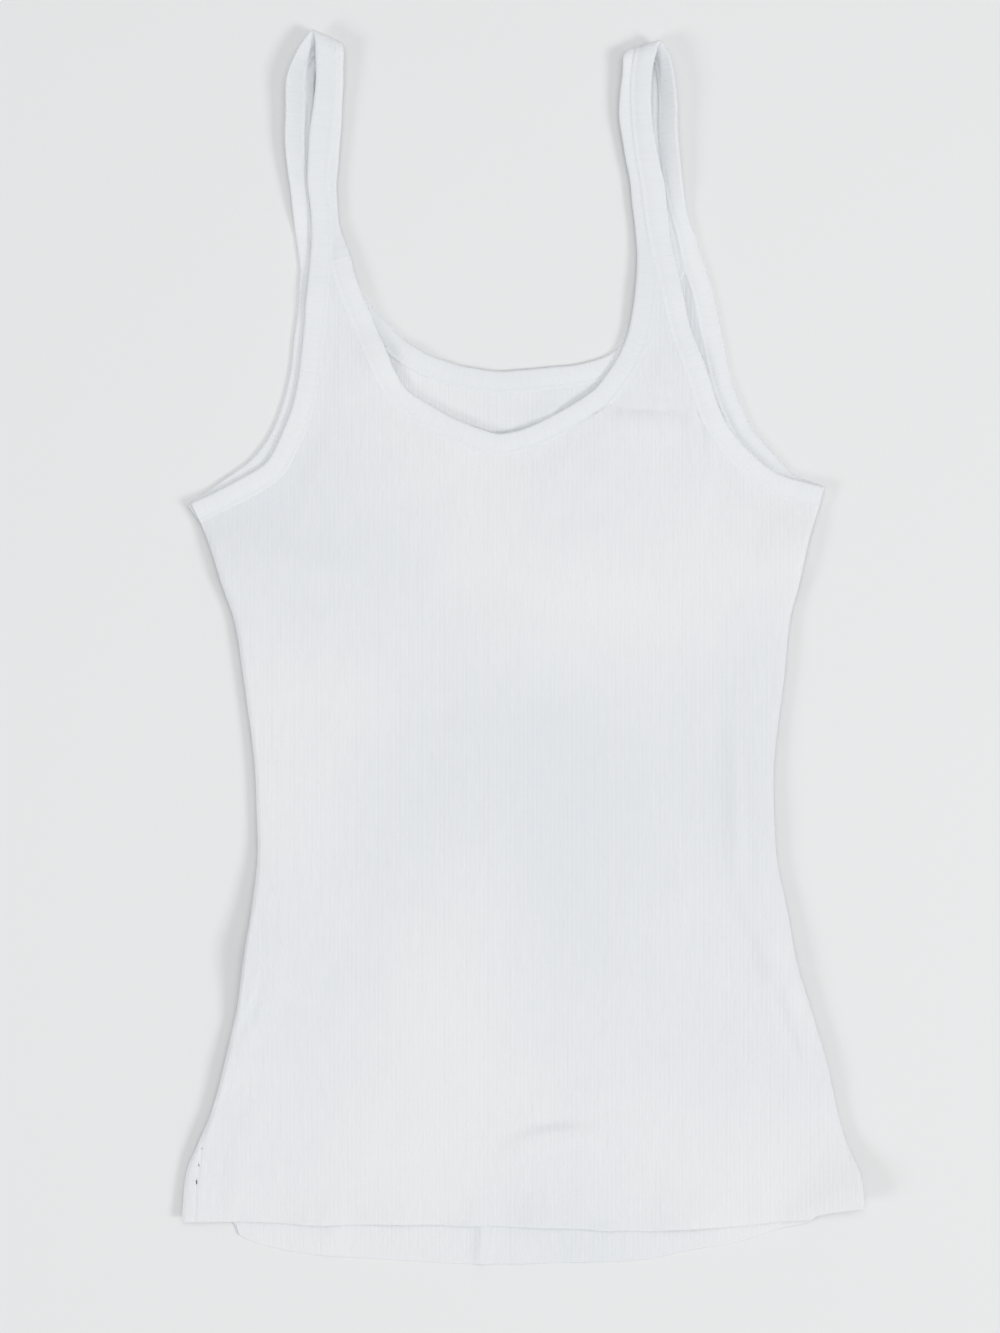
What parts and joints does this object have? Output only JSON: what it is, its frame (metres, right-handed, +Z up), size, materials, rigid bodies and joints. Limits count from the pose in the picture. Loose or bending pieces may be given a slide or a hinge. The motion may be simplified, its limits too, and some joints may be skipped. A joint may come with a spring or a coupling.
{
  "type": "tank top",
  "caption": "Ribbed scoop-neck tank top with narrow shoulder straps and bound neck and armholes, laid flat with its front up.",
  "frame": {"origin": "on the surface that the garment lies on, under the middle of its outline", "axes": "+X across the body to the right of the view from above, +Y from the hem to the straps, +Z up off the surface"},
  "size_m": [0.3398, 0.616, 0.0089],
  "materials": {
    "rib_knit": "white cotton rib knit, matt",
    "binding": "white cotton rib binding, matt"
  },
  "bodies": {
    "root": {"front_panel": "rib_knit", "back_panel": "rib_knit", "front_neck_binding": "binding", "back_neck_binding": "binding", "left_armhole_binding": "binding", "right_armhole_binding": "binding"}
  },
  "joints": []
}
